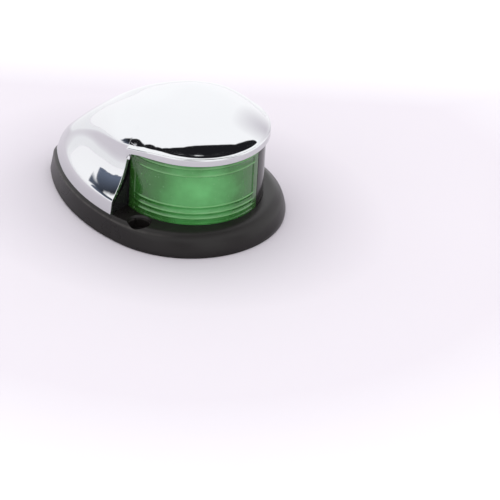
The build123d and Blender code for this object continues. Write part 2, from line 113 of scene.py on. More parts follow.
def add_mesh(name, points, faces, body, material, replaces):
    """Makes a piece from points in millimetres and hangs it on a body in place of CAD nodes."""
    mesh = bpy.data.meshes.new(name)
    mesh.from_pydata([tuple(float(c) * MM for c in p) for p in points], [], faces)
    mesh.validate()
    piece = new_object(name, mesh)
    mesh.materials.append(material)
    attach(piece, body)
    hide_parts(*replaces)
    return piece


def fix_normals(piece):
    """Joins points that lie together and turns every face outwards."""
    work = bmesh.new()
    work.from_mesh(piece.data)
    bmesh.ops.remove_doubles(work, verts=work.verts, dist=MERGE_WITHIN)
    bmesh.ops.recalc_face_normals(work, faces=work.faces)
    work.to_mesh(piece.data)
    work.free()


def smooth(piece, angle):
    """Smooth shading that keeps the edges sharper than an angle in degrees."""
    piece.data.polygons.foreach_set("use_smooth", [True] * len(piece.data.polygons))
    piece.data.set_sharp_from_angle(angle=math.radians(angle))


def apply_modifiers(piece):
    graph = bpy.context.evaluated_depsgraph_get()
    done = bpy.data.meshes.new_from_object(piece.evaluated_get(graph), depsgraph=graph)
    piece.modifiers.clear()
    piece.data = done


def bevel(piece, width):
    mod = piece.modifiers.new("edges", "BEVEL")
    mod.width = width * MM
    mod.segments = BEVEL_SEGMENTS
    mod.limit_method = "ANGLE"
    mod.angle_limit = BEVEL_FROM
    mod.harden_normals = False
    apply_modifiers(piece)


def block(line, low, high):
    """An upright block with any outline, as points and faces."""
    count = len(line)
    points = [(x, y, low) for x, y in line] + [(x, y, high) for x, y in line]
    faces = [tuple(range(count))[::-1], tuple(range(count, 2 * count))]
    faces += [(i, (i + 1) % count, count + (i + 1) % count, count + i) for i in range(count)]
    return points, faces


def circle_line(x, y, radius):
    turns = [2 * math.pi * i / HOLE_SIDES for i in range(HOLE_SIDES)]
    return [(x + radius * math.cos(a), y + radius * math.sin(a)) for a in turns]


def turned_block(x, y, profile, steps):
    """A closed profile of radius and height turned round an upright axis, as points and faces."""
    points, faces = [], []
    for i in range(steps):
        angle = 2 * math.pi * i / steps
        points.extend((x + r * math.cos(angle), y + r * math.sin(angle), z) for r, z in profile)
    count = len(profile)
    for i in range(steps):
        j = (i + 1) % steps
        for k in range(count):
            m = (k + 1) % count
            faces.append((i * count + k, j * count + k, j * count + m, i * count + m))
    return points, faces


def ring_block(x, inner_r, outer_r, low, high, steps):
    """A ring with a square section round a point of the middle line."""
    section = ((inner_r, low), (outer_r, low), (outer_r, high), (inner_r, high))
    return turned_block(x, 0, section, steps)


def cone_block(x, y, low_r, high_r, low, high):
    """A round block that widens or narrows from its foot to its top."""
    points, faces = block(circle_line(x, y, 1.0), low, high)
    count = len(points) // 2
    radii = [low_r] * count + [high_r] * count
    points = [(x + (px - x) * r, y + (py - y) * r, z) for (px, py, z), r in zip(points, radii)]
    return points, faces


def carve(piece, cutters):
    """Takes a group of blocks that don't touch each other out of a piece."""
    mesh = bpy.data.meshes.new("cutter")
    points, faces = [], []
    for more_points, more_faces in cutters:
        start = len(points)
        points += [tuple(float(c) * MM for c in p) for p in more_points]
        faces += [tuple(start + i for i in face) for face in more_faces]
    mesh.from_pydata(points, [], faces)
    cutter = new_object("cutter", mesh)
    work = bmesh.new()
    work.from_mesh(mesh)
    bmesh.ops.recalc_face_normals(work, faces=work.faces)
    work.to_mesh(mesh)
    work.free()
    mod = piece.modifiers.new("cut", "BOOLEAN")
    mod.operation = "DIFFERENCE"
    mod.solver = "EXACT"
    mod.object = cutter
    apply_modifiers(piece)
    bpy.data.objects.remove(cutter)


def spline(keys, values, at):
    """A smooth curve through a few given values."""
    keys = np.asarray(keys, float)
    values = np.asarray(values, float)
    slopes = np.gradient(values, keys)
    at = np.clip(np.asarray(at, float), keys[0], keys[-1])
    i = np.clip(np.searchsorted(keys, at) - 1, 0, len(keys) - 2)
    h = keys[i + 1] - keys[i]
    s = (at - keys[i]) / h
    start = (1 + 2 * s) * (1 - s) ** 2 * values[i] + s * (1 - s) ** 2 * h * slopes[i]
    return start + s * s * (3 - 2 * s) * values[i + 1] + s * s * (s - 1) * h * slopes[i + 1]


def ease(low, high, at):
    """0 below low, 1 above high, and a soft change between them."""
    t = np.clip((np.asarray(at, float) - low) / (high - low), 0, 1)
    return t * t * (3 - 2 * t)


def even(line, count):
    """Evenly spaced points along a line."""
    steps = np.r_[0, np.cumsum(np.linalg.norm(np.diff(line, axis=0), axis=1))]
    want = np.linspace(0, steps[-1], count)
    return np.c_[np.interp(want, steps, line[:, 0]), np.interp(want, steps, line[:, 1])]


# ------------------------ egg outlines

ARC_POINTS = 200
OUTLINE_POINTS = 720
HALF_OUTLINE = OUTLINE_POINTS // 2 + 1


def egg_line(nose_x, nose_r, tail_x, tail_r, side_r):
    """An egg's outline from the nose round the port side: nose arc, side arc, tail arc, and back."""
    gap = nose_x - tail_x
    to_nose = side_r - nose_r
    to_tail = side_r - tail_r
    along = (to_nose**2 - to_tail**2 + gap**2) / (2 * gap)
    cx = nose_x - along
    cy = -math.sqrt(to_nose**2 - along**2)
    nose = np.linspace(0, math.atan2(-cy, nose_x - cx), ARC_POINTS)
    side = np.linspace(nose[-1], math.atan2(-cy, tail_x - cx), ARC_POINTS)[1:]
    tail = np.linspace(side[-1], math.pi, ARC_POINTS)[1:]
    half = np.vstack([
        np.c_[nose_x + nose_r * np.cos(nose), nose_r * np.sin(nose)],
        np.c_[cx + side_r * np.cos(side), cy + side_r * np.sin(side)],
        np.c_[tail_x + tail_r * np.cos(tail), tail_r * np.sin(tail)],
    ])
    whole = np.vstack([half, half[-2:0:-1] * [1, -1]])
    return even(np.vstack([whole, whole[:1]]), OUTLINE_POINTS + 1)[:-1]


def reach_by_angle(line, centre_x, angles):
    """How far a half outline lies from a point on the middle line, by angle from the bow."""
    away = np.hypot(line[:, 0] - centre_x, line[:, 1])
    angle = np.arctan2(line[:, 1], line[:, 0] - centre_x)
    order = np.argsort(angle)
    return np.interp(angles, angle[order], away[order])


# ------------------------ cover

CUT_CENTRE_X = CUT_IN_X - CUT_IN_Y * CUT_LEAN
CUT_ANGLE = math.atan2(CUT_IN_Y, CUT_IN_X - CUT_CENTRE_X)
APEX_X = -3.5
RIDGE_TIP_X = -59.9
RIDGE_TIP_Z = 20.8
SHOULDER_Z = 16.3
BROW_R = 31.8
BULGE = 1.3
CORNER_R = 3.2

SPLIT_DROP = 2.9
RIM_Z = DECK_Z + 0.05
RIM_NOSE_R, RIM_TAIL_R, RIM_SIDE_R = 41.5, 9.1, 85.0
RIM_LINE = egg_line(NOSE_X, RIM_NOSE_R, TAIL_X, RIM_TAIL_R, RIM_SIDE_R)[:HALF_OUTLINE]
SHOULDER_TAIL_X = -54.6
SHOULDER_NOSE_R, SHOULDER_TAIL_R, SHOULDER_SIDE_R = 40.8, 7.8, 84.2
SHOULDER_LINE = egg_line(
    NOSE_X, SHOULDER_NOSE_R, SHOULDER_TAIL_X, SHOULDER_TAIL_R, SHOULDER_SIDE_R
)[:HALF_OUTLINE]

# How finely the shell is divided, and where its lower and upper grids meet behind the cut
RIDGE_POINTS = 1200
DOME_POINTS = 260
FLANK_POINTS = 200
BAND_POINTS = 60
PROFILE_POINTS = 700
LOW_ROWS = 70
TOP_ROWS = 110
REAR_COLUMNS = 150
FRONT_COLUMNS = 130
COLUMN_CROWDING = 1.5
SPLIT_FADE = 0.8
SPLIT_FADE_FROM = 2.2

# How full the dome and the ridge are: a higher power is flatter on top and steeper at its edge
DOME_POWER = 2.7
DOME_SIDE_POWER = 0.9
SPINE_POWER = 1.91
RIDGE_POWER = 3.0
RIDGE_MORE_POWER = 0.6
RIDGE_MORE_X = -20
THINNEST = 1e-3

# The share of the flank's rise that the valley wall takes, by degrees round from the bow
WALL_DEGREES = (100, 125, 150, 165, 180)
WALL_SHARE = (0.50, 0.44, 0.30, 0.14, 0.02)
REAR_ROUND = 0.5
TAIL_ROUND = 0.9
TAIL_ROUND_DEGREES = (105, 140)

# The brow band's rounded top
NOSE_BULGE_ARC = (math.radians(20), math.radians(70))
BAND_RISE_HANDLE = 0.35
BAND_OUT_HANDLE = 0.8
BAND_DOWN_HANDLE = 0.62
FRONT_ROUND = 0.35

COVER_EDGE = 0.3
COVER_SHARP = 50
LEDGE_IN = 28.8
LEDGE_OUT = 32.0
LEDGE_H = 2.0
LEDGE_STEPS = 200
COVER_SCREWS = ((-30.0, 19.0), (-30.0, -19.0), (-54.5, 0.0))
BOSS_R = 3.6
BOSS_TOP_Z = 24.0
TAIL_BOSS_TOP_Z = 21.4
PILOT_R = 1.8
PILOT_TOP_Z = 20.5
WEB_T = 1.6
WEB_ROWS = 12
WEB_ABOVE_RIM = 2.0
WEB_BELOW_TOP = 0.5
WEB_INTO_SHELL = 0.8
WEB_INTO_BOSS = 0.4
BOSS_STEPS = 48
# The first points of a flank's profile, which reach higher than the bosses do
WEB_LOOKUP_POINTS = 300

# Half width of the ridge's edge behind the apex, from its tip forward
RIDGE_X = (RIDGE_TIP_X, -52.0, -44.0, -35.0, -25.0, -15.0, APEX_X)
RIDGE_W = (6.2, 9.8, 13.6, 18.3, 24.0, 28.5, 31.1)
RIDGE_CAP_L = 8.0

# Height of that edge, from the tip of the ridge to the drum's front
EDGE_AT_X = (RIDGE_TIP_X, -52.0, -44.0, -35.0, -25.0, -15.0, -7.0, 0.0, 6.0, 12.0, 36.0)
EDGE_AT_Z = (RIDGE_TIP_Z, 24.9, 30.2, 34.8, 38.0, 39.8, 41.4, 43.0, CREASE_Z, CREASE_Z, CREASE_Z)


def ridge_half_width(x):
    x = np.asarray(x, float)
    front = np.sqrt(np.clip(BROW_R**2 - (x - DRUM_X) ** 2, 0, None))
    u = np.clip((x - RIDGE_TIP_X) / RIDGE_CAP_L, 0, 1)
    rear = spline(RIDGE_X, RIDGE_W, x) * np.sqrt(1 - (1 - u) ** 2)
    return np.where(x > APEX_X, front, rear)


def edge_height(x):
    return spline(EDGE_AT_X, EDGE_AT_Z, x)


def ridge_outline():
    """Half of the ridge's edge in plan, dense enough near its two ends."""
    turn = np.linspace(0, math.pi, RIDGE_POINTS)
    low, high = RIDGE_TIP_X, DRUM_X + BROW_R
    x = (low + high) / 2 + (high - low) / 2 * np.cos(turn)
    return np.c_[x, ridge_half_width(x)]


OUTLINE = ridge_outline()


def dome_height(x, y):
    """The top surface: a low dome over the drum that runs back into a narrowing ridge."""
    y = np.abs(y)
    turn = np.arctan2(y, x - APEX_X)
    away = np.hypot(x - APEX_X, y)
    reach = reach_by_angle(OUTLINE, APEX_X, turn)
    edge_x = APEX_X + reach * np.cos(turn)
    power = DOME_POWER + DOME_SIDE_POWER * np.sin(turn) ** 2
    edge = edge_height(edge_x)
    front = APEX_Z - (APEX_Z - edge) * np.clip(away / reach, 0, 1) ** power
    back = np.clip((APEX_X - x) / (APEX_X - RIDGE_TIP_X), 0, 1)
    middle = RIDGE_TIP_Z + (APEX_Z - RIDGE_TIP_Z) * (1 - back**SPINE_POWER)
    across = np.clip(y / np.maximum(ridge_half_width(x), THINNEST), 0, 1)
    low = np.minimum(edge_height(x), middle)
    power = RIDGE_POWER + RIDGE_MORE_POWER * ease(RIDGE_MORE_X, APEX_X, x)
    rear = low + (middle - low) * (1 - across**power)
    return np.where(x > APEX_X, front, rear)


def edge_along(turn):
    """Distance and height of the ridge's edge along one direction from the cut's centre."""
    reach = float(reach_by_angle(OUTLINE, CUT_CENTRE_X, turn))
    return reach, float(edge_height(CUT_CENTRE_X + reach * math.cos(turn)))


def bezier(p0, p1, p2, p3, count):
    """Points along a curve from its two ends and its two handles."""
    t = np.linspace(0, 1, count)[:, None]
    p0, p1, p2, p3 = (np.asarray(p, float) for p in (p0, p1, p2, p3))
    return (1 - t) ** 3 * p0 + 3 * (1 - t) ** 2 * t * p1 + 3 * (1 - t) * t * t * p2 + t**3 * p3


def soften(line, reach):
    """A line of evenly spaced points with its corners rounded, and its ends kept."""
    step = np.linalg.norm(np.diff(line, axis=0), axis=1).mean()
    width = max(int(3 * reach / step), 1)
    weights = np.exp(-0.5 * (np.arange(-width, width + 1) * step / reach) ** 2)
    weights /= weights.sum()
    before = 2 * line[0] - line[width:0:-1]
    after = 2 * line[-1] - line[-2:-width - 2:-1]
    long = np.vstack([before, line, after])
    return np.c_[np.convolve(long[:, 0], weights, "valid"), np.convolve(long[:, 1], weights, "valid")]


def dome_profile(turn, reach):
    """From the ridge's edge to the middle, along one direction from the cut's centre."""
    away = reach * np.linspace(1, 0, DOME_POINTS)
    x = CUT_CENTRE_X + away * math.cos(turn)
    y = away * math.sin(turn)
    return np.c_[away, dome_height(x, y)]


def rear_profile(turn, reach, edge):
    """Rim band, flank, valley wall and dome behind the cut, as distance and height."""
    rim = reach_by_angle(RIM_LINE, CUT_CENTRE_X, turn)
    shoulder = reach_by_angle(SHOULDER_LINE, CUT_CENTRE_X, turn)
    degrees = math.degrees(turn)
    run, rise = shoulder - reach, edge - SHOULDER_Z
    wall = rise * spline(WALL_DEGREES, WALL_SHARE, degrees)
    corner = np.array((reach + WALL_LEAN * run, edge - wall))
    foot_end, edge_end = np.array((shoulder, SHOULDER_Z)), np.array((reach, edge))
    flank = bezier(
        foot_end,
        foot_end + (corner - foot_end) * FLANK_HANDLE,
        edge_end + (corner - edge_end) * WALL_HANDLE,
        edge_end,
        FLANK_POINTS,
    )
    line = np.vstack([[(rim, RIM_Z)], flank, dome_profile(turn, reach)[1:]])
    round_off = REAR_ROUND + TAIL_ROUND * ease(*TAIL_ROUND_DEGREES, degrees)
    return soften(even(line, PROFILE_POINTS), round_off)


def brow_low(turn):
    """The brow's lower edge, which turns down into the cut through a rounded corner."""
    away = (CUT_ANGLE - turn) * BROW_R
    low = BROW_Z - BROW_DROP * max(1 - away / BROW_DROP_RUN, 0) ** 2
    if away >= CORNER_R:
        return low
    return low - CORNER_R + math.sqrt(max(CORNER_R**2 - (CORNER_R - away) ** 2, 0))


def front_profile(turn, reach, edge):
    """Brow band and dome ahead of the cut."""
    low = brow_low(turn)
    swell = BULGE + NOSE_BULGE * (1 - ease(*NOSE_BULGE_ARC, turn))
    lip = reach + swell
    high = edge - (edge - low) * BAND_ROUND
    turn_in = bezier(
        (lip, high),
        (lip, high + BAND_RISE_HANDLE),
        (reach + BAND_OUT_HANDLE * swell, edge - BAND_DOWN_HANDLE * swell),
        (reach, edge),
        BAND_POINTS,
    )
    line = np.vstack([[(lip, low)], turn_in, dome_profile(turn, reach)[1:]])
    return soften(even(line, PROFILE_POINTS), FRONT_ROUND)


def cover_columns():
    """Half of the cover's columns: their angle, lower part (behind the cut only) and upper part."""
    tail_line = SHOULDER_LINE[SHOULDER_LINE[:, 0] < CUT_CENTRE_X]
    tail_turns = np.arctan2(tail_line[:, 1], tail_line[:, 0] - CUT_CENTRE_X)
    along = np.linspace(0, 1, len(tail_turns))
    rear_turns = np.interp(np.linspace(0, 1, REAR_COLUMNS), along, tail_turns)
    rear_turns = CUT_ANGLE + (rear_turns - rear_turns[0]) * (math.pi - CUT_ANGLE) / (math.pi - rear_turns[0])
    rear_turns[-1] = math.pi
    front_turns = CUT_ANGLE * (1 - (1 - np.linspace(0, 1, FRONT_COLUMNS)) ** COLUMN_CROWDING)
    columns = []
    for turn in front_turns[:-1]:
        reach, edge = edge_along(turn)
        columns.append((turn, None, even(front_profile(turn, reach, edge), TOP_ROWS)))
    for turn in rear_turns:
        reach, edge = edge_along(turn)
        whole = rear_profile(turn, reach, edge)
        drop = SPLIT_DROP * (1 - SPLIT_FADE * float(ease(SPLIT_FADE_FROM, math.pi, turn)))
        cut = int(np.searchsorted(np.maximum.accumulate(whole[:, 1]), edge - drop))
        columns.append((turn, even(whole[:cut + 1], LOW_ROWS), even(whole[cut:], TOP_ROWS)))
    return columns


def cover_grid():
    """All columns once round, from the bow by port, as points."""
    half = cover_columns()
    mirrored = [(-turn, low, top) for turn, low, top in half[-2:0:-1]]
    return half + mirrored


def cover_shell_mesh():
    """The shell itself as one open sheet: an upper grid all round and a lower one behind the cut."""
    columns = cover_grid()
    points, faces = [], []
    tops, lows = [], []

    def place(turn, pair):
        return (CUT_CENTRE_X + pair[0] * math.cos(turn), pair[0] * math.sin(turn), pair[1])

    for turn, low, top in columns:
        start = len(points)
        points.extend(place(turn, pair) for pair in top[:-1])
        tops.append(list(range(start, start + len(top) - 1)))
        start = len(points)
        if low is None:
            lows.append(None)
            continue
        points.extend(place(turn, pair) for pair in low[:-1])
        lows.append(list(range(start, start + len(low) - 1)) + [tops[-1][0]])
    apex = len(points)
    points.append((CUT_CENTRE_X, 0, float(columns[0][2][-1][1])))
    count = len(columns)
    for i in range(count):
        j = (i + 1) % count
        for rows in (tops, lows):
            a, b = rows[i], rows[j]
            if a and b:
                faces.extend((a[k], b[k], b[k + 1], a[k + 1]) for k in range(len(a) - 1))
        faces.append((tops[i][-1], tops[j][-1], apex))
    return points, faces


def boss_mesh(x, y):
    """A screw boss with its pilot hole, and the web that ties it to the shell."""
    boss_top = TAIL_BOSS_TOP_Z if y == 0 else BOSS_TOP_Z
    profile = (
        (PILOT_R, RIM_Z), (BOSS_R, RIM_Z), (BOSS_R, boss_top),
        (0.0, boss_top), (0.0, PILOT_TOP_Z), (PILOT_R, PILOT_TOP_Z),
    )
    points, faces = turned_block(x, y, profile, BOSS_STEPS)
    turn = math.atan2(abs(y), x - CUT_CENTRE_X)
    shell = rear_profile(turn, *edge_along(turn))[:WEB_LOOKUP_POINTS]
    heights = np.linspace(RIM_Z + WEB_ABOVE_RIM, boss_top - WEB_BELOW_TOP, WEB_ROWS)
    outer = np.interp(heights, np.maximum.accumulate(shell[:, 1]), shell[:, 0]) - WEB_INTO_SHELL
    inner = math.hypot(x - CUT_CENTRE_X, y) + BOSS_R - WEB_INTO_BOSS
    along = Vector((math.cos(turn), math.copysign(math.sin(turn), y if y else 1), 0))
    across = Vector((-along.y, along.x, 0)) * (WEB_T / 2)
    start = len(points)
    for side in (-1, 1):
        foot = Vector((CUT_CENTRE_X, 0, 0)) + across * side
        points.extend(foot + along * float(r) + Vector((0, 0, float(z))) for r, z in zip(outer, heights))
        points.extend(foot + along * inner + Vector((0, 0, float(z))) for z in heights)
    rows = len(heights)
    for side in (0, 1):
        base = start + side * 2 * rows
        faces.extend((base + k, base + k + 1, base + rows + k + 1, base + rows + k) for k in range(rows - 1))
    for k in range(rows - 1):
        faces.append((start + k, start + k + 1, start + 2 * rows + k + 1, start + 2 * rows + k))
    for k in (0, rows - 1):
        faces.append((start + k, start + rows + k, start + 3 * rows + k, start + 2 * rows + k))
    return points, faces


def make_cover(material):
    """The shell given its wall, with the ledge that presses on the lens's gasket and the three bosses."""
    points, faces = cover_shell_mesh()
    cover = add_mesh("cover_shell", points, faces, "cover", material, ["cover"])
    fix_normals(cover)
    wall = cover.modifiers.new("wall", "SOLIDIFY")
    wall.thickness = COVER_WALL * MM
    wall.offset = -1
    wall.use_even_offset = False
    apply_modifiers(cover)
    bevel(cover, COVER_EDGE)
    joined = bmesh.new()
    joined.from_mesh(cover.data)
    ledge = ring_block(DRUM_X, LEDGE_IN, LEDGE_OUT, BROW_Z, BROW_Z + LEDGE_H, LEDGE_STEPS)
    for points, faces in [ledge] + [boss_mesh(x, y) for x, y in COVER_SCREWS]:
        corners = [joined.verts.new([c * MM for c in p]) for p in points]
        made = [joined.faces.new([corners[i] for i in face]) for face in faces]
        bmesh.ops.recalc_face_normals(joined, faces=made)
    bmesh.ops.remove_doubles(joined, verts=joined.verts, dist=MERGE_WITHIN)
    loose = [edge for edge in joined.edges if not edge.link_faces]
    bmesh.ops.delete(joined, geom=loose, context="EDGES")
    joined.to_mesh(cover.data)
    joined.free()
    smooth(cover, COVER_SHARP)


# ------------------------ base

BASE_CENTRE_X = -8.0
EDGE_Z = 8.7
EDGE_INSET = 1.6
EDGE_SHIFT = -0.4
DECK_INSET = 3.0
FOOT_ROUND = 0.5
BASE_COLUMNS = 360
BASE_ROWS = 60
BASE_PROFILE_POINTS = 260
BASE_SHARP = 32
CORE_INSET = 13.0

# The base's edge is crisp astern and grows softer towards the bow, by the cosine of the direction
SOFT_COSINES = (-0.25, 0.85)
BOW_INSET = 2.6
BOW_EDGE_DROP = 1.6
EDGE_ROUND = 0.16
BOW_ROUND = 1.3

HOLE_Y = 37.1
HOLE_R = 2.4
COUNTERBORE_R = 4.7
COUNTERBORE_FLOOR_Z = 4.5
COUNTERBORE_MOUTH_R = 5.35
COUNTERBORE_MOUTH_H = 0.9
MOUTH_INSIDE = 0.01
MOUTH_PAST_DECK = 0.1
DRUM_GROOVE_IN = 28.0
DRUM_GROOVE_OUT = 31.7
DRUM_GROOVE_Z = 9.0
DRUM_GROOVE_STEPS = 240
PAD_INSET = 2.0
PAD_T = 1.2
SCREW_HOLE_R = 1.9
SCREW_WELL_R = 3.3
SCREW_WELL_TOP_Z = 4.2
BRACKET_SCREWS = ((-35.2, 6.6), (-35.2, -6.6))
BRACKET_SCREW_R = 1.4
BRACKET_SCREW_TIP_Z = 4.0
POCKET_X = -43.8
POCKET_L = 11.6
POCKET_W = 18.0
POCKET_ROOF_Z = 6.5
POCKET_CORNER_R = 2.5
POCKET_CORNER_STEPS = 12
GROMMET_NECK_R = 3.4
RIM_GASKET_IN = 4.2
RIM_GASKET_OUT = 3.0
RIM_GASKET_T = 0.5
RIM_GROOVE_STEPS = 240
RIM_GROOVE_END_GAP = 0.01
# How far a cutter stands past the face that it cuts
CUT_PAST = 1.0


def base_line(inset, shift=0.0):
    """The base's outline drawn in by an inset and moved fore and aft."""
    return egg_line(NOSE_X + shift, NOSE_R - inset, TAIL_X + shift, TAIL_R - inset, SIDE_R - inset)


def pocket_line():
    """A rectangle with rounded corners."""
    line = []
    for quarter in range(4):
        sx = 1 if quarter in (0, 3) else -1
        sy = 1 if quarter in (0, 1) else -1
        cx = POCKET_X + sx * (POCKET_L / 2 - POCKET_CORNER_R)
        cy = sy * (POCKET_W / 2 - POCKET_CORNER_R)
        for k in range(POCKET_CORNER_STEPS + 1):
            angle = math.pi / 2 * (quarter + k / POCKET_CORNER_STEPS)
            line.append((cx + POCKET_CORNER_R * math.cos(angle), cy + POCKET_CORNER_R * math.sin(angle)))
    return line


def gasket_groove():
    """The shallow groove for the cover's rim gasket, behind the cut on both sides."""
    outer = base_line(RIM_GASKET_OUT)
    inner = base_line(RIM_GASKET_IN)
    first = CUT_ANGLE + RIM_GROOVE_END_GAP
    turns = np.linspace(first, 2 * math.pi - first, RIM_GROOVE_STEPS)
    mirror = np.where(turns > math.pi, -1, 1)
    folded = np.where(turns > math.pi, 2 * math.pi - turns, turns)
    line = []
    for source, order in ((outer, 1), (inner, -1)):
        reach = reach_by_angle(source[:HALF_OUTLINE], CUT_CENTRE_X, folded)
        places = zip(reach, folded, mirror)
        ring = [(CUT_CENTRE_X + r * math.cos(t), m * r * math.sin(t)) for r, t, m in places]
        line += ring[::order]
    return block(line, DECK_Z - RIM_GASKET_T, DECK_Z + CUT_PAST)


def base_profile(turn):
    """From the foot over the shoulder to the deck: crisp behind the drum, soft and wide at the bow."""
    front = float(ease(*SOFT_COSINES, math.cos(turn)))
    line = np.array([
        (FOOT_ROUND, 0.0),
        (0.0, FOOT_ROUND),
        (EDGE_INSET, EDGE_Z - BOW_EDGE_DROP * front),
        (DECK_INSET + BOW_INSET * front, DECK_Z),
        (CORE_INSET, DECK_Z),
    ])
    return soften(even(line, BASE_PROFILE_POINTS), EDGE_ROUND + BOW_ROUND * front)


def base_body_mesh():
    """The base before anything is cut into it, as one closed skin."""
    foot_line = base_line(0)[:HALF_OUTLINE]
    edge_line = base_line(EDGE_INSET, EDGE_SHIFT)[:HALF_OUTLINE]
    points, faces = [], []
    for i in range(BASE_COLUMNS):
        turn = 2 * math.pi * i / BASE_COLUMNS
        folded = turn if turn <= math.pi else 2 * math.pi - turn
        side = 1 if turn <= math.pi else -1
        foot = float(reach_by_angle(foot_line, BASE_CENTRE_X, folded))
        edge = float(reach_by_angle(edge_line, BASE_CENTRE_X, folded))
        steepness = (foot - edge) / EDGE_INSET
        for inset, z in even(base_profile(folded), BASE_ROWS):
            if inset < EDGE_INSET:
                away = foot - inset * steepness
            else:
                away = foot - inset - (foot - edge - EDGE_INSET)
            points.append((BASE_CENTRE_X + away * math.cos(folded), side * away * math.sin(folded), z))
    for i in range(BASE_COLUMNS):
        here = i * BASE_ROWS
        beside = (i + 1) % BASE_COLUMNS * BASE_ROWS
        faces.extend((here + k, beside + k, beside + k + 1, here + k + 1) for k in range(BASE_ROWS - 1))
    faces.append(tuple(i * BASE_ROWS + BASE_ROWS - 1 for i in range(BASE_COLUMNS)))
    faces.append(tuple(i * BASE_ROWS for i in range(BASE_COLUMNS))[::-1])
    return points, faces


def make_base(material):
    """The base with its pad recess, wells, counterbores, grooves, pocket and holes cut in turn."""
    points, faces = base_body_mesh()
    base = add_mesh("base_moulding", points, faces, "housing", material, ["base"])
    fix_normals(base)
    under = -CUT_PAST
    over = DECK_Z + CUT_PAST
    carve(base, [block(base_line(PAD_INSET), under, PAD_T)])
    wells = [block(circle_line(x, y, SCREW_WELL_R), under, SCREW_WELL_TOP_Z) for x, y in COVER_SCREWS]
    bores = [block(circle_line(0, y, COUNTERBORE_R), COUNTERBORE_FLOOR_Z, over) for y in (HOLE_Y, -HOLE_Y)]
    groove = ring_block(DRUM_X, DRUM_GROOVE_IN, DRUM_GROOVE_OUT, DRUM_GROOVE_Z, over, DRUM_GROOVE_STEPS)
    carve(base, [block(pocket_line(), under, POCKET_ROOF_Z), groove] + wells + bores)
    slope = (COUNTERBORE_MOUTH_R - COUNTERBORE_R) / COUNTERBORE_MOUTH_H
    mouth = (COUNTERBORE_R - MOUTH_INSIDE, COUNTERBORE_MOUTH_R + slope * MOUTH_PAST_DECK)
    mouth_low, mouth_high = DECK_Z - COUNTERBORE_MOUTH_H, DECK_Z + MOUTH_PAST_DECK
    mouths = [cone_block(0, y, *mouth, mouth_low, mouth_high) for y in (HOLE_Y, -HOLE_Y)]
    carve(base, mouths + [gasket_groove()])
    holes = [block(circle_line(0, y, HOLE_R), under, over) for y in (HOLE_Y, -HOLE_Y)]
    holes += [block(circle_line(x, y, SCREW_HOLE_R), under, over) for x, y in COVER_SCREWS]
    holes += [block(circle_line(x, y, BRACKET_SCREW_R), BRACKET_SCREW_TIP_Z, over) for x, y in BRACKET_SCREWS]
    holes.append(block(circle_line(POCKET_X, 0, GROMMET_NECK_R), under, over))
    carve(base, holes)
    smooth(base, BASE_SHARP)


# ------------------------ lens and blank panel

# Where the lens and the panel start and end, in degrees round the drum from the bow
LENS_START, LENS_END = -116.0, 3.5
PANEL_START, PANEL_END = 3.9, 115.8
WALL_COLUMNS = 220
WALL_EDGE = 0.6
FRAME_W = 3.6
FRAME_RISE = 0.40
FRAME_STEP = 0.3
RIB_Z = (13.0, 15.6, 18.7, 33.8, 37.4)
RIB_RISE = 0.42
RIB_HALF_H = 0.55
BAND_RISE = 0.16
RIB_STEPS = 4
FLANGE_TOP_Z = LENS_LOW + 1.3
FLANGE_ROWS = (-0.02, 0.2)
WINDOW_ROWS = 14
WINDOW_INSET = 1
PANEL_ROWS = 8
PANEL_EDGE = 0.25
LENS_SHARP = 50
PANEL_SHARP = 40


def lens_outside(z, frame_part):
    """Outer radius of the lens at a height: ribs below and above a clear window, and a foot flange."""
    if z < FLANGE_TOP_Z:
        return DRUM_R
    radius = DRUM_R - FRAME_RISE
    if RIB_Z[0] < z < RIB_Z[2] or z > RIB_Z[3]:
        radius += BAND_RISE
    for rib in RIB_Z:
        off = abs(z - rib) / RIB_HALF_H
        if off < 1:
            radius = max(radius, DRUM_R - FRAME_RISE + RIB_RISE * math.sqrt(1 - off * off))
    return radius + (DRUM_R - radius) * frame_part


def wall_mesh(start, end, outside, heights):
    """A wall on the drum's circle, with its outer radius given by height and by nearness to its ends."""
    arc = math.radians(end - start) * DRUM_R
    inside = (LENS_TOP - WALL_EDGE, LENS_TOP - WALL_EDGE * 2, LENS_LOW + WALL_EDGE * 2, LENS_LOW + WALL_EDGE)
    points, faces = [], []
    for i in range(WALL_COLUMNS):
        at = arc * (i / (WALL_COLUMNS - 1))
        frame_part = 1 - float(ease(FRAME_W - FRAME_STEP, FRAME_W, min(at, arc - at)))
        angle = math.radians(start) + at / DRUM_R
        column = [(outside(z, frame_part), z) for z in heights] + [(DRUM_R - DRUM_WALL, z) for z in inside]
        points.extend((DRUM_X + r * math.cos(angle), r * math.sin(angle), z) for r, z in column)
    rows = len(heights) + len(inside)
    for i in range(WALL_COLUMNS - 1):
        for k in range(rows):
            m = (k + 1) % rows
            faces.append((i * rows + k, (i + 1) * rows + k, (i + 1) * rows + m, i * rows + m))
    faces.append(tuple(range(rows)))
    faces.append(tuple(range((WALL_COLUMNS - 1) * rows, WALL_COLUMNS * rows))[::-1])
    return points, faces


def make_lens(material):
    heights = [LENS_LOW, LENS_TOP] + [FLANGE_TOP_Z + step for step in FLANGE_ROWS]
    for rib in RIB_Z:
        heights += [rib + RIB_HALF_H * k / RIB_STEPS for k in range(-RIB_STEPS, RIB_STEPS + 1)]
    heights += list(np.linspace(RIB_Z[2] + WINDOW_INSET, RIB_Z[3] - WINDOW_INSET, WINDOW_ROWS))
    points, faces = wall_mesh(LENS_START, LENS_END, lens_outside, sorted(heights))
    lens = add_mesh("lens_moulding", points, faces, "housing", material, ["lens"])
    fix_normals(lens)
    smooth(lens, LENS_SHARP)


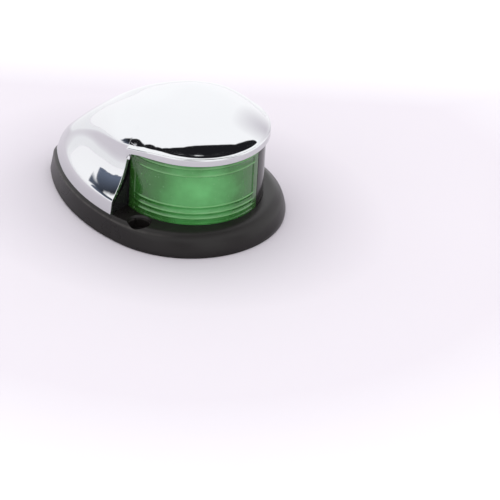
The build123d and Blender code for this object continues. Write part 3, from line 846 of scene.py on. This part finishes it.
def make_panel(material):
    heights = list(np.linspace(LENS_LOW, LENS_TOP, PANEL_ROWS))
    points, faces = wall_mesh(PANEL_START, PANEL_END, lambda z, frame_part: DRUM_R, heights)
    panel = add_mesh(
        "blank_panel_moulding", points, faces, "housing", material, ["blank_panel"]
    )
    fix_normals(panel)
    bevel(panel, PANEL_EDGE)
    smooth(panel, PANEL_SHARP)


# ------------------------ contact springs

SPRING_Y = 3.5
LAMP_Z = 25.0
SPRING_R = 1.55
SPRING_WIRE_R = 0.2
SPRING_TURNS = 4
SPRING_END_X = -30.0
SPRING_START_X = -25.56
SPRING_STEPS_A_TURN = 44
SPRING_WIRE_SIDES = 10
SPRING_CLOSED_ENDS = 0.4
SPRING_SHARP = 60


def spring_mesh(side):
    """One coil behind a plunger, wound closer at its two ends."""
    steps, sides = SPRING_STEPS_A_TURN * SPRING_TURNS, SPRING_WIRE_SIDES
    run = SPRING_START_X - SPRING_END_X - 2 * SPRING_WIRE_R
    points, faces = [], []
    for i in range(steps + 1):
        t = i / steps
        closed = 0.5 - 0.5 * math.cos(math.pi * t)
        x = SPRING_END_X + SPRING_WIRE_R + run * (SPRING_CLOSED_ENDS * closed + (1 - SPRING_CLOSED_ENDS) * t)
        a = 2 * math.pi * SPRING_TURNS * t
        for k in range(sides):
            b = 2 * math.pi * k / sides
            r = SPRING_R + SPRING_WIRE_R * math.cos(b)
            y = side * SPRING_Y + r * math.cos(a)
            points.append((x + SPRING_WIRE_R * math.sin(b), y, LAMP_Z + r * math.sin(a)))
    for i in range(steps):
        row, after = i * sides, (i + 1) * sides
        for k in range(sides):
            m = (k + 1) % sides
            faces.append((row + k, row + m, after + m, after + k))
    faces.append(tuple(range(sides)))
    faces.append(tuple(range(steps * sides, (steps + 1) * sides))[::-1])
    return points, faces


def make_springs(material):
    points, faces = [], []
    for side in (1, -1):
        more_points, more_faces = spring_mesh(side)
        faces += [tuple(len(points) + i for i in face) for face in more_faces]
        points += more_points
    springs = add_mesh(
        "contact_spring_coils", points, faces, "housing", material, ["contact_springs"]
    )
    fix_normals(springs)
    smooth(springs, SPRING_SHARP)
    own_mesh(springs)


# ------------------------ materials

def new_material(name):
    material = bpy.data.materials.new(name)
    material.use_nodes = True
    tree = material.node_tree
    shader = tree.nodes["Principled BSDF"]
    return material, tree, shader


def noise(tree, scale, detail=4.0, rough=0.55):
    place = tree.nodes.new("ShaderNodeTexCoord")
    made = tree.nodes.new("ShaderNodeTexNoise")
    made.inputs["Scale"].default_value = scale
    made.inputs["Detail"].default_value = detail
    made.inputs["Roughness"].default_value = rough
    tree.links.new(place.outputs["Object"], made.inputs["Vector"])
    return made


def ramp(tree, source, low, high, value_a=0.0, value_b=1.0):
    made = tree.nodes.new("ShaderNodeMapRange")
    tree.links.new(source, made.inputs["Value"])
    for slot, value in enumerate((low, high, value_a, value_b), 1):
        made.inputs[slot].default_value = value
    return made.outputs["Result"]


def feed(tree, socket, value):
    """Gives a socket a plain value, or links it to another node's socket."""
    if isinstance(value, bpy.types.NodeSocket):
        tree.links.new(value, socket)
    else:
        socket.default_value = value


def mix_colours(tree, factor, colour_a, colour_b):
    made = tree.nodes.new("ShaderNodeMix")
    made.data_type = "RGBA"
    tree.links.new(factor, made.inputs[0])
    for slot, colour in ((6, colour_a), (7, colour_b)):
        feed(tree, made.inputs[slot], (*colour, 1) if isinstance(colour, tuple) else colour)
    return made.outputs[2]


def bump(tree, shader, height, strength, distance):
    made = tree.nodes.new("ShaderNodeBump")
    made.inputs["Strength"].default_value = strength
    made.inputs["Distance"].default_value = distance
    tree.links.new(height, made.inputs["Height"])
    tree.links.new(made.outputs["Normal"], shader.inputs["Normal"])


def maths(tree, operation, *values):
    made = tree.nodes.new("ShaderNodeMath")
    made.operation = operation
    for slot, value in enumerate(values):
        feed(tree, made.inputs[slot], value)
    return made.outputs[0]


def vector_maths(tree, operation, *values, scale=None):
    made = tree.nodes.new("ShaderNodeVectorMath")
    made.operation = operation
    for slot, value in enumerate(values):
        feed(tree, made.inputs[slot], value)
    if scale is not None:
        tree.links.new(scale, made.inputs["Scale"])
    return made.outputs["Value"] if operation in ("DOT_PRODUCT", "LENGTH") else made.outputs["Vector"]


def position(tree):
    """The object's own coordinates, in metres, as three sockets."""
    place = tree.nodes.new("ShaderNodeTexCoord")
    parts = tree.nodes.new("ShaderNodeSeparateXYZ")
    tree.links.new(place.outputs["Object"], parts.inputs["Vector"])
    return parts.outputs["X"], parts.outputs["Y"], parts.outputs["Z"]


def away_from(tree, value, middle):
    return maths(tree, "ABSOLUTE", maths(tree, "SUBTRACT", value, middle))


CLOUD_MIDDLE = (0.3, 0.7)
FINE_DETAIL = 3.0
METAL_GRAIN_DEPTH = 0.00002
GRAIN_DEPTH = 0.00003


def clouded(name, colour_a, colour_b, rough_a, rough_b, scale):
    """A material whose colour and roughness drift between two values."""
    material, tree, shader = new_material(name)
    cloud = noise(tree, scale).outputs["Fac"]
    tree.links.new(mix_colours(tree, cloud, colour_a, colour_b), shader.inputs["Base Color"])
    tree.links.new(ramp(tree, cloud, *CLOUD_MIDDLE, rough_a, rough_b), shader.inputs["Roughness"])
    return material, tree, shader


def metal(name, colour_a, colour_b, rough_a, rough_b, scale, grain=0.0, grain_scale=2000.0):
    material, tree, shader = clouded(name, colour_a, colour_b, rough_a, rough_b, scale)
    shader.inputs["Metallic"].default_value = 1.0
    if grain:
        fine = noise(tree, grain_scale, FINE_DETAIL)
        bump(tree, shader, fine.outputs["Fac"], grain, METAL_GRAIN_DEPTH)
    return material


def plastic(name, colour_a, colour_b, rough_a, rough_b, scale, grain, grain_scale, specular=0.5):
    material, tree, shader = clouded(name, colour_a, colour_b, rough_a, rough_b, scale)
    shader.inputs["Specular IOR Level"].default_value = specular
    fine = noise(tree, grain_scale, FINE_DETAIL)
    bump(tree, shader, fine.outputs["Fac"], grain, GRAIN_DEPTH)
    return material


def lamp_glass():
    material, tree, shader = clouded("lamp_glass", (0.97, 0.99, 0.98), (0.95, 0.98, 0.97), 0.0, 0.02, 80.0)
    shader.inputs["Transmission Weight"].default_value = 1.0
    shader.inputs["IOR"].default_value = 1.5
    fine = noise(tree, 900.0, 2.0)
    bump(tree, shader, fine.outputs["Fac"], 0.02, GRAIN_DEPTH)
    return material


# The lens's painted glow is brightest round one direction, in degrees from the bow to starboard, and one
# height; painted shade deepens towards its ends
LENS_PAINTED_GLOW_AT = 52.0
LENS_PAINTED_GLOW_Z = 25.0
LENS_PAINTED_GLOW_SQUAT = 0.035
LENS_CLOUD = 0.5
LENS_PAINTED_GLOW_REACH = (0.0, 0.62)
LENS_PAINTED_SHADE_REACH = (0.50, 1.05)
LENS_PAINTED_GLOW = (0.165, 0.63, 0.19)
LENS_MIDDLE = (0.060, 0.29, 0.060)
LENS_PAINTED_SHADE = (0.030, 0.115, 0.018)
SPECK_RANGE = (0.71, 0.77)
SPECK_GREEN = (0.22, 0.54, 0.21)
LENS_ROUGH_CLOUD = (0.35, 0.7)
LENS_ROUGH = (0.10, 0.24)
LENS_WAVE_DEPTH = 0.00004
# Painted highlights along the lens's ribs, kept away from the lens's ends
RIB_HIGHLIGHT_REACH = (0.89, 0.93)
RIB_PAINTED_HIGHLIGHT = 0.6
RIB_HIGHLIGHT_RISE = 0.2
RIB_HIGHLIGHT_BAND = (0.1, 0.4)
RIB_HIGHLIGHT_GREEN = (0.21, 0.54, 0.19)


def lens_material():
    """Moulded green plastic with a painted glow round one place and painted shade at its ends, pale specks,
    and painted highlights along the ribs.
    """
    material, tree, shader = new_material("green_lens")
    shader.inputs["Transmission Weight"].default_value = 0.35
    shader.inputs["IOR"].default_value = 1.5
    shader.inputs["Coat Weight"].default_value = 0.35
    shader.inputs["Coat Roughness"].default_value = 0.03
    x, y, z = position(tree)
    # Painted glow: the green is lightest near one direction and height and turns to painted shade further
    # away
    turn = maths(tree, "ARCTAN2", y, maths(tree, "SUBTRACT", x, DRUM_X * MM))
    off_glow_turn = maths(tree, "ABSOLUTE", maths(tree, "ADD", turn, math.radians(LENS_PAINTED_GLOW_AT)))
    off_glow_height = maths(tree, "MULTIPLY", away_from(tree, z, LENS_PAINTED_GLOW_Z * MM), LENS_PAINTED_GLOW_SQUAT / MM)
    squares = [maths(tree, "POWER", off, 2.0) for off in (off_glow_turn, off_glow_height)]
    away = maths(tree, "SQRT", maths(tree, "ADD", *squares))
    cloud = noise(tree, 110.0).outputs["Fac"]
    drift = maths(tree, "MULTIPLY", maths(tree, "SUBTRACT", cloud, 0.5), LENS_CLOUD)
    away = maths(tree, "ADD", away, drift)
    tone = mix_colours(tree, ramp(tree, away, *LENS_PAINTED_GLOW_REACH), LENS_PAINTED_GLOW, LENS_MIDDLE)
    tone = mix_colours(tree, ramp(tree, away, *LENS_PAINTED_SHADE_REACH), tone, LENS_PAINTED_SHADE)
    speck = noise(tree, 1500.0, 1.0).outputs["Fac"]
    tone = mix_colours(tree, ramp(tree, speck, *SPECK_RANGE), tone, SPECK_GREEN)
    inside = ramp(tree, off_glow_turn, *RIB_HIGHLIGHT_REACH, 1.0, 0.0)
    # A painted highlight in a thin band just above each rib
    for rib in RIB_Z:
        off = away_from(tree, z, (rib + RIB_HIGHLIGHT_RISE) * MM)
        rib_highlight = ramp(tree, off, RIB_HIGHLIGHT_BAND[0] * MM, RIB_HIGHLIGHT_BAND[1] * MM, RIB_PAINTED_HIGHLIGHT, 0.0)
        tone = mix_colours(tree, maths(tree, "MULTIPLY", rib_highlight, inside), tone, RIB_HIGHLIGHT_GREEN)
    tree.links.new(tone, shader.inputs["Base Color"])
    tree.links.new(ramp(tree, cloud, *LENS_ROUGH_CLOUD, *LENS_ROUGH), shader.inputs["Roughness"])
    wave = noise(tree, 420.0, FINE_DETAIL)
    bump(tree, shader, wave.outputs["Fac"], 0.12, LENS_WAVE_DEPTH)
    return material


# Painted highlight along the base's crisp rim, broken up by noise and fading out towards the bow
RIM_PAINTED_HIGHLIGHT = (0.060, 0.055, 0.053)
RIM_HIGHLIGHT_BAND = (0.15, 0.55)
RIM_HIGHLIGHT_MOST = 0.8
RIM_HIGHLIGHT_ASTERN = (0.0, 20.0)
RIM_HIGHLIGHT_BREAKUP_RANGE = (0.30, 0.62)
RIM_HIGHLIGHT_BREAKUP_LEAST = 0.35


def base_material():
    """Satin black moulding with a painted highlight along its crisp rim."""
    material = plastic(
        "black_polymer", (0.0085, 0.0072, 0.0070), (0.014, 0.012, 0.0118), 0.25, 0.36, 60.0, 0.3, 2600.0, 0.25
    )
    tree = material.node_tree
    shader = tree.nodes["Principled BSDF"]
    body_colour = shader.inputs["Base Color"].links[0].from_socket
    x, _, z = position(tree)
    # Painted highlight: a paler band round the rim's height, astern, broken up by noise
    band_low, band_high = (off * MM for off in RIM_HIGHLIGHT_BAND)
    rim = ramp(tree, away_from(tree, z, EDGE_Z * MM), band_low, band_high, 1.0, 0.0)
    fade_low, fade_high = (place * MM for place in RIM_HIGHLIGHT_ASTERN)
    astern = ramp(tree, x, fade_low, fade_high, 1.0, 0.0)
    highlight_breakup = ramp(tree, noise(tree, 240.0).outputs["Fac"], *RIM_HIGHLIGHT_BREAKUP_RANGE, RIM_HIGHLIGHT_BREAKUP_LEAST, 1.0)
    painted_highlight = maths(tree, "MULTIPLY", maths(tree, "MULTIPLY", rim, astern), highlight_breakup)
    tone = mix_colours(tree, maths(tree, "MULTIPLY", painted_highlight, RIM_HIGHLIGHT_MOST), body_colour, RIM_PAINTED_HIGHLIGHT)
    tree.links.new(tone, shader.inputs["Base Color"])
    return material


CHROME = metal("bright_chrome", (0.615, 0.62, 0.632), (0.598, 0.603, 0.616), 0.03, 0.055, 35.0, 0.02, 600.0)
BASE_BLACK = base_material()
PANEL_BLACK = plastic(
    "gloss_black", (0.009, 0.008, 0.008), (0.013, 0.011, 0.011), 0.10, 0.16, 50.0, 0.05, 500.0, 0.22
)
SCREEN_BLACK = plastic(
    "screen_black", (0.012, 0.012, 0.013), (0.018, 0.017, 0.018), 0.18, 0.30, 60.0, 0.15, 1800.0
)
RUBBER = plastic(
    "gasket_rubber", (0.018, 0.018, 0.019), (0.03, 0.029, 0.029), 0.6, 0.75, 120.0, 0.4, 3000.0, 0.3
)
STEEL = metal("stainless", (0.56, 0.56, 0.57), (0.48, 0.48, 0.50), 0.22, 0.34, 300.0, 0.12, 2500.0)
BRASS = metal("brass", (0.72, 0.53, 0.26), (0.60, 0.43, 0.20), 0.24, 0.38, 260.0, 0.1, 2000.0)
PHENOLIC = plastic("phenolic", (0.10, 0.045, 0.022), (0.15, 0.07, 0.035), 0.35, 0.5, 300.0, 0.3, 2500.0)
VITRITE = plastic("vitrite", (0.008, 0.008, 0.012), (0.02, 0.02, 0.028), 0.06, 0.12, 300.0, 0.1, 1500.0)
SOLDER = metal("solder", (0.62, 0.62, 0.63), (0.5, 0.5, 0.52), 0.3, 0.45, 500.0, 0.4, 1800.0)
TUNGSTEN = metal("tungsten", (0.30, 0.30, 0.31), (0.22, 0.22, 0.23), 0.35, 0.45, 900.0)
GLASS = lamp_glass()
LENS = lens_material()

FINISH = (
    (BASE_BLACK, ["base"]),
    (CHROME, ["cover"]),
    (LENS, ["lens"]),
    (PANEL_BLACK, ["blank_panel"]),
    (SCREEN_BLACK, ["light_screen"]),
    (RUBBER, ["deck_gasket", "drum_gasket", "cover_gasket", "lens_top_gasket", "wire_grommet",
              "cover_screw_washers"]),
    (STEEL, ["cover_screws", "socket_bracket", "bracket_screws", "plunger_clips", "contact_springs"]),
    (BRASS, ["socket_shell", "contact_plungers", "bulb_cap", "bulb_pins"]),
    (PHENOLIC, ["contact_insulator"]),
    (VITRITE, ["bulb_insulator"]),
    (SOLDER, ["bulb_contacts"]),
    (GLASS, ["bulb_glass", "bulb_stem"]),
    (TUNGSTEN, ["filament_supports", "bulb_filament"]),
)
for material, names in FINISH:
    for name in names:
        nodes[name].data.materials.clear()
        nodes[name].data.materials.append(material)

make_cover(CHROME)
make_base(BASE_BLACK)
make_lens(LENS)
make_panel(PANEL_BLACK)
make_springs(STEEL)

# ------------------------ studio

# The way from the camera over the floor, and where the floor's painted shade turns to white behind the light
# and far from it
FLOOR_BACK = (-0.474, 0.880, 0.0)
FLOOR_BEHIND = (0.10, 0.17)
FLOOR_FAR = (0.15, 0.30)
FLOOR_SHADOW_REACH = (0.052, 0.085)
FLOOR_GLOW = 0.05
FLOOR_HALF = 3.0
FLOOR_Z = -0.0002
FLOOR_ROUGH = 0.9
# Painted shade round the light, a darker painted shadow right under it, and how that shadow is squeezed and
# shifted
PAPER_PAINTED_SHADE = ((0.72, 0.675, 0.725), (0.74, 0.695, 0.745))
PAPER_PAINTED_SHADOW = (0.64, 0.60, 0.65)
PAPER_OPEN = (0.93, 0.925, 0.935)
SHADOW_SQUEEZE = (0.82, 1.0, 1.0)
SHADOW_SHIFT = (0.0085, 0.0, 0.0)


def make_floor():
    """White paper with painted shade: faintly mauve round the light, a darker painted shadow right beside it,
    and a faint glow on the open paper.
    """
    mesh = bpy.data.meshes.new("floor")
    corners = [(sx * FLOOR_HALF, sy * FLOOR_HALF, FLOOR_Z) for sx, sy in ((-1, -1), (1, -1), (1, 1), (-1, 1))]
    mesh.from_pydata(corners, [], [(0, 1, 2, 3)])
    floor = new_object("floor", mesh)
    material, tree, shader = new_material("floor_paper")
    shader.inputs["Roughness"].default_value = FLOOR_ROUGH
    cloud = noise(tree, 3.0).outputs["Fac"]
    place = tree.nodes.new("ShaderNodeTexCoord").outputs["Object"]
    behind = ramp(tree, vector_maths(tree, "DOT_PRODUCT", place, FLOOR_BACK), *FLOOR_BEHIND)
    far = ramp(tree, vector_maths(tree, "LENGTH", place), *FLOOR_FAR)
    open_floor = maths(tree, "MAXIMUM", behind, far)
    floor_shade = mix_colours(tree, cloud, *PAPER_PAINTED_SHADE)
    squeezed = vector_maths(tree, "MULTIPLY", place, SHADOW_SQUEEZE)
    away = vector_maths(tree, "LENGTH", vector_maths(tree, "ADD", squeezed, SHADOW_SHIFT))
    floor_shade = mix_colours(tree, ramp(tree, away, *FLOOR_SHADOW_REACH), PAPER_PAINTED_SHADOW, floor_shade)
    paper = mix_colours(tree, open_floor, floor_shade, PAPER_OPEN)
    shader.inputs["Emission Color"].default_value = (1, 0.995, 1, 1)
    tree.links.new(maths(tree, "MULTIPLY", open_floor, FLOOR_GLOW), shader.inputs["Emission Strength"])
    tree.links.new(paper, shader.inputs["Base Color"])
    mesh.materials.append(material)


# The dark stand over the table, as the chrome mirrors it: points of its two arms as the x and y of a
# direction and half its width there, from low astern, up over the camera, to the bow
STAND_LINES = (
    ((-0.945, -0.315, 0.030), (-0.90, -0.41, 0.042), (-0.86, -0.475, 0.040), (-0.74, -0.63, 0.040)),
    (
        (-0.94, -0.23, 0.014), (-0.852, -0.378, 0.027), (-0.86, -0.345, 0.014), (-0.735, -0.43, 0.028),
        (-0.57, -0.515, 0.034), (-0.36, -0.545, 0.036), (-0.13, -0.49, 0.050), (0.10, -0.32, 0.085),
        (0.28, -0.05, 0.105), (0.38, 0.23, 0.085), (0.41, 0.47, 0.055), (0.33, 0.73, 0.022),
    ),
)
STAND_FOOT_Z = 0.125
STAND_FADE = (0.17, 0.36)
STAND_EDGE = 0.004
STAND_WAVER = 0.016
FOOT_WAVER = 0.10
HORIZON_FADE = -0.02
SKY_LOW_TOP = 0.30
SCREEN_MIDDLE = 0.02
RIPPLE_SCALE = 9.0
# Soft grey screens round the table: the x and y of their direction, their reach and their colour
SCREENS = (
    ((0.14, 1.0, 0.0), 0.30, (0.58, 0.55, 0.60)),
    ((0.45, -0.86, 0.0), 0.36, (0.26, 0.25, 0.27)),
    ((0.95, 0.02, 0.0), 0.30, (0.32, 0.31, 0.33)),
)
SKY_WHITE = (0.985, 0.99, 1.0)
SKY_LOW = (0.93, 0.925, 0.94)
SKY_STRENGTH = 1.5
STAND_HIGH = (0.012, 0.012, 0.014)
STAND_LOW = (0.12, 0.145, 0.20)
HORIZON_MAUVE = (0.72, 0.66, 0.74)


def stand_gap(tree, flat, start, end):
    """How far a direction lies outside one tapered stretch of the stand."""
    run = (end[0] - start[0], end[1] - start[1], 0.0)
    length = run[0] ** 2 + run[1] ** 2
    from_start = vector_maths(tree, "SUBTRACT", flat, (start[0], start[1], 0.0))
    along = maths(tree, "DIVIDE", vector_maths(tree, "DOT_PRODUCT", from_start, run), length)
    clamp = tree.nodes.new("ShaderNodeClamp")
    tree.links.new(along, clamp.inputs["Value"])
    along = clamp.outputs["Result"]
    nearest = vector_maths(tree, "SCALE", run, scale=along)
    gap = vector_maths(tree, "LENGTH", vector_maths(tree, "SUBTRACT", from_start, nearest))
    half_w = maths(tree, "ADD", maths(tree, "MULTIPLY", along, end[2] - start[2]), start[2])
    return maths(tree, "SUBTRACT", gap, half_w)


def make_world():
    """A white sky over the table with the dark stand and the soft screens in it."""
    world = bpy.data.worlds.new("studio")
    bpy.context.scene.world = world
    world.use_nodes = True
    tree = world.node_tree
    back = tree.nodes["Background"]
    place = tree.nodes.new("ShaderNodeTexCoord")
    parts = tree.nodes.new("ShaderNodeSeparateXYZ")
    tree.links.new(place.outputs["Generated"], parts.inputs["Vector"])
    x, y, z = (parts.outputs[axis] for axis in "XYZ")
    ripple = tree.nodes.new("ShaderNodeTexNoise")
    ripple.inputs["Scale"].default_value = RIPPLE_SCALE
    ripple.inputs["Detail"].default_value = FINE_DETAIL
    tree.links.new(place.outputs["Generated"], ripple.inputs["Vector"])
    waver = maths(tree, "SUBTRACT", ripple.outputs["Fac"], 0.5)
    combined = tree.nodes.new("ShaderNodeCombineXYZ")
    tree.links.new(x, combined.inputs["X"])
    tree.links.new(y, combined.inputs["Y"])
    flat = combined.outputs["Vector"]
    gap = None
    for line in STAND_LINES:
        for start, end in zip(line, line[1:]):
            one = stand_gap(tree, flat, start, end)
            gap = one if gap is None else maths(tree, "MINIMUM", gap, one)
    gap = maths(tree, "ADD", gap, maths(tree, "MULTIPLY", waver, STAND_WAVER))
    low_end = maths(tree, "SUBTRACT", STAND_FOOT_Z, z)
    low_end = maths(tree, "ADD", low_end, maths(tree, "MULTIPLY", waver, FOOT_WAVER))
    gap = maths(tree, "MAXIMUM", gap, low_end)
    outside = ramp(tree, gap, -STAND_EDGE, STAND_EDGE)
    below = ramp(tree, z, 0.0, HORIZON_FADE)
    stand = mix_colours(tree, ramp(tree, z, *STAND_FADE), STAND_LOW, STAND_HIGH)
    lit = mix_colours(tree, ramp(tree, z, 0.0, SKY_LOW_TOP), SKY_LOW, SKY_WHITE)
    for middle, reach, colour in SCREENS:
        off = vector_maths(tree, "LENGTH", vector_maths(tree, "SUBTRACT", flat, middle))
        lit = mix_colours(tree, ramp(tree, off, SCREEN_MIDDLE, reach), colour, lit)
    sky = mix_colours(tree, below, lit, HORIZON_MAUVE)
    shown = mix_colours(tree, maths(tree, "MAXIMUM", outside, below), stand, sky)
    tree.links.new(shown, back.inputs["Color"])
    back.inputs["Strength"].default_value = SKY_STRENGTH


VIEW_AZ = math.radians(28.32)
VIEW_EL = math.radians(31.54)
VIEW_ROLL = math.radians(3.30)
VIEW_DISTANCE = 1474.0
VIEW_ASIDE = -28.12
VIEW_DOWN = 19.18
VIEW_POINT = Vector((1.2, 0, 0))
FOCAL_RATIO = 6.7563
SENSOR_W = 36.0
NEAREST_SEEN = 0.05


def make_camera():
    level = math.cos(VIEW_EL)
    back = Vector((math.sin(VIEW_AZ) * level, -math.cos(VIEW_AZ) * level, math.sin(VIEW_EL)))
    right = Vector((math.cos(VIEW_AZ), math.sin(VIEW_AZ), 0))
    up = back.cross(right)
    c, s = math.cos(VIEW_ROLL), math.sin(VIEW_ROLL)
    right, up = c * right + s * up, -s * right + c * up
    place = VIEW_POINT - VIEW_ASIDE * right - VIEW_DOWN * up + VIEW_DISTANCE * back
    data = bpy.data.cameras.new("camera")
    data.sensor_width = SENSOR_W
    data.lens = FOCAL_RATIO * SENSOR_W
    data.clip_start = NEAREST_SEEN
    camera = new_object("camera", data)
    turn = Matrix((right, up, back)).transposed().to_4x4()
    camera.matrix_world = Matrix.Translation(place * MM) @ turn
    bpy.context.scene.camera = camera


make_floor()
make_world()
make_camera()
scene = bpy.context.scene
scene.view_settings.view_transform = "Standard"
